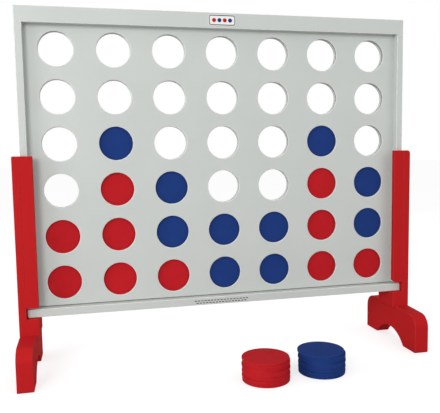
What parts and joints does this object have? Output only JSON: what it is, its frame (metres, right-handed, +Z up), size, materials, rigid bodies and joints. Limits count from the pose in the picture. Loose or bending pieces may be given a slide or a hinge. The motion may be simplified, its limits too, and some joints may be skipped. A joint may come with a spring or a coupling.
{
  "type": "giant four in a row",
  "caption": "Standing lawn game: a perforated board with disc slots, on two legs with arched feet, with a pull-out release bar and stacks of discs in two colours.",
  "frame": {"origin": "on the ground, at the middle of the rectangle that the whole set covers, stacks of discs included", "axes": "+X to the right as a player in front sees it, along the board's width; +Y away from that player, from the front of the board to its back; +Z up"},
  "size_m": [1.14, 0.4244, 0.973],
  "materials": {
    "board_paint": "satin light grey paint on wood fibreboard and pine",
    "leg_paint": "satin red paint on pine",
    "disc_red": "matt red",
    "disc_blue": "matt blue",
    "steel": "zinc plated",
    "brass": "brass plated",
    "beech": "bare"
  },
  "bodies": {
    "board_and_legs": {"front_panel": "board_paint", "back_panel": "board_paint", "front_top_rail": "board_paint", "back_top_rail": "board_paint", "front_left_stile": "board_paint", "front_right_stile": "board_paint", "back_left_stile": "board_paint", "back_right_stile": "board_paint", "left_spacer": "board_paint", "right_spacer": "board_paint", "divider_1": "board_paint", "divider_2": "board_paint", "divider_3": "board_paint", "divider_4": "board_paint", "divider_5": "board_paint", "divider_6": "board_paint", "panel_screws": "steel", "left_side_board": "leg_paint", "right_side_board": "leg_paint", "left_front_cheek": "leg_paint", "right_front_cheek": "leg_paint", "left_back_cheek": "leg_paint", "right_back_cheek": "leg_paint", "left_post_block": "leg_paint", "right_post_block": "leg_paint", "left_foot": "leg_paint", "right_foot": "leg_paint", "leg_screws": "steel", "leg_bolts": "steel", "threaded_inserts": "brass", "foot_dowels": "beech"},
    "release_bar": {"release_bar": "board_paint"},
    "red_disc_c1_r1": {"red_disc_c1_r1": "disc_red"},
    "red_disc_c1_r2": {"red_disc_c1_r2": "disc_red"},
    "red_disc_c2_r1": {"red_disc_c2_r1": "disc_red"},
    "red_disc_c2_r2": {"red_disc_c2_r2": "disc_red"},
    "red_disc_c2_r3": {"red_disc_c2_r3": "disc_red"},
    "blue_disc_c2_r4": {"blue_disc_c2_r4": "disc_blue"},
    "red_disc_c3_r1": {"red_disc_c3_r1": "disc_red"},
    "blue_disc_c3_r2": {"blue_disc_c3_r2": "disc_blue"},
    "blue_disc_c3_r3": {"blue_disc_c3_r3": "disc_blue"},
    "blue_disc_c4_r1": {"blue_disc_c4_r1": "disc_blue"},
    "blue_disc_c4_r2": {"blue_disc_c4_r2": "disc_blue"},
    "blue_disc_c5_r1": {"blue_disc_c5_r1": "disc_blue"},
    "blue_disc_c5_r2": {"blue_disc_c5_r2": "disc_blue"},
    "red_disc_c6_r1": {"red_disc_c6_r1": "disc_red"},
    "red_disc_c6_r2": {"red_disc_c6_r2": "disc_red"},
    "red_disc_c6_r3": {"red_disc_c6_r3": "disc_red"},
    "blue_disc_c6_r4": {"blue_disc_c6_r4": "disc_blue"},
    "red_disc_c7_r1": {"red_disc_c7_r1": "disc_red"},
    "blue_disc_c7_r2": {"blue_disc_c7_r2": "disc_blue"},
    "blue_disc_c7_r3": {"blue_disc_c7_r3": "disc_blue"},
    "red_stack": {"red_stack": "disc_red"},
    "red_stack_top": {"red_stack_top": "disc_red"},
    "blue_stack": {"blue_stack": "disc_blue"},
    "blue_stack_top": {"blue_stack_top": "disc_blue"}
  },
  "joints": [
    {"name": "release_bar_pull", "type": "slide", "parent": "board_and_legs", "child": "release_bar", "axis": [0, -1, 0], "range_m": [0, 0.16]},
    {"name": "red_disc_c1_r1_lift", "type": "slide", "parent": "board_and_legs", "child": "red_disc_c1_r1", "axis": [0, 0, 1], "range_m": [0, 0.125]},
    {"name": "red_disc_c1_r2_lift", "type": "slide", "parent": "red_disc_c1_r1", "child": "red_disc_c1_r2", "axis": [0, 0, 1], "range_m": [0, 0.674]},
    {"name": "red_disc_c2_r1_lift", "type": "slide", "parent": "board_and_legs", "child": "red_disc_c2_r1", "axis": [0, 0, 1], "range_m": [0, 0.125]},
    {"name": "red_disc_c2_r2_lift", "type": "slide", "parent": "red_disc_c2_r1", "child": "red_disc_c2_r2", "axis": [0, 0, 1], "range_m": [0, 0.125]},
    {"name": "red_disc_c2_r3_lift", "type": "slide", "parent": "red_disc_c2_r2", "child": "red_disc_c2_r3", "axis": [0, 0, 1], "range_m": [0, 0.125]},
    {"name": "blue_disc_c2_r4_lift", "type": "slide", "parent": "red_disc_c2_r3", "child": "blue_disc_c2_r4", "axis": [0, 0, 1], "range_m": [0, 0.424]},
    {"name": "red_disc_c3_r1_lift", "type": "slide", "parent": "board_and_legs", "child": "red_disc_c3_r1", "axis": [0, 0, 1], "range_m": [0, 0.125]},
    {"name": "blue_disc_c3_r2_lift", "type": "slide", "parent": "red_disc_c3_r1", "child": "blue_disc_c3_r2", "axis": [0, 0, 1], "range_m": [0, 0.125]},
    {"name": "blue_disc_c3_r3_lift", "type": "slide", "parent": "blue_disc_c3_r2", "child": "blue_disc_c3_r3", "axis": [0, 0, 1], "range_m": [0, 0.549]},
    {"name": "blue_disc_c4_r1_lift", "type": "slide", "parent": "board_and_legs", "child": "blue_disc_c4_r1", "axis": [0, 0, 1], "range_m": [0, 0.125]},
    {"name": "blue_disc_c4_r2_lift", "type": "slide", "parent": "blue_disc_c4_r1", "child": "blue_disc_c4_r2", "axis": [0, 0, 1], "range_m": [0, 0.674]},
    {"name": "blue_disc_c5_r1_lift", "type": "slide", "parent": "board_and_legs", "child": "blue_disc_c5_r1", "axis": [0, 0, 1], "range_m": [0, 0.125]},
    {"name": "blue_disc_c5_r2_lift", "type": "slide", "parent": "blue_disc_c5_r1", "child": "blue_disc_c5_r2", "axis": [0, 0, 1], "range_m": [0, 0.674]},
    {"name": "red_disc_c6_r1_lift", "type": "slide", "parent": "board_and_legs", "child": "red_disc_c6_r1", "axis": [0, 0, 1], "range_m": [0, 0.125]},
    {"name": "red_disc_c6_r2_lift", "type": "slide", "parent": "red_disc_c6_r1", "child": "red_disc_c6_r2", "axis": [0, 0, 1], "range_m": [0, 0.125]},
    {"name": "red_disc_c6_r3_lift", "type": "slide", "parent": "red_disc_c6_r2", "child": "red_disc_c6_r3", "axis": [0, 0, 1], "range_m": [0, 0.125]},
    {"name": "blue_disc_c6_r4_lift", "type": "slide", "parent": "red_disc_c6_r3", "child": "blue_disc_c6_r4", "axis": [0, 0, 1], "range_m": [0, 0.424]},
    {"name": "red_disc_c7_r1_lift", "type": "slide", "parent": "board_and_legs", "child": "red_disc_c7_r1", "axis": [0, 0, 1], "range_m": [0, 0.125]},
    {"name": "blue_disc_c7_r2_lift", "type": "slide", "parent": "red_disc_c7_r1", "child": "blue_disc_c7_r2", "axis": [0, 0, 1], "range_m": [0, 0.125]},
    {"name": "blue_disc_c7_r3_lift", "type": "slide", "parent": "blue_disc_c7_r2", "child": "blue_disc_c7_r3", "axis": [0, 0, 1], "range_m": [0, 0.549]},
    {"name": "red_stack_lift", "type": "slide", "parent": "board_and_legs", "child": "red_stack", "axis": [0, 0, 1], "range_m": [0, 0.3]},
    {"name": "red_stack_top_lift", "type": "slide", "parent": "red_stack", "child": "red_stack_top", "axis": [0, 0, 1], "range_m": [0, 0.3]},
    {"name": "blue_stack_lift", "type": "slide", "parent": "board_and_legs", "child": "blue_stack", "axis": [0, 0, 1], "range_m": [0, 0.3]},
    {"name": "blue_stack_top_lift", "type": "slide", "parent": "blue_stack", "child": "blue_stack_top", "axis": [0, 0, 1], "range_m": [0, 0.3]}
  ]
}
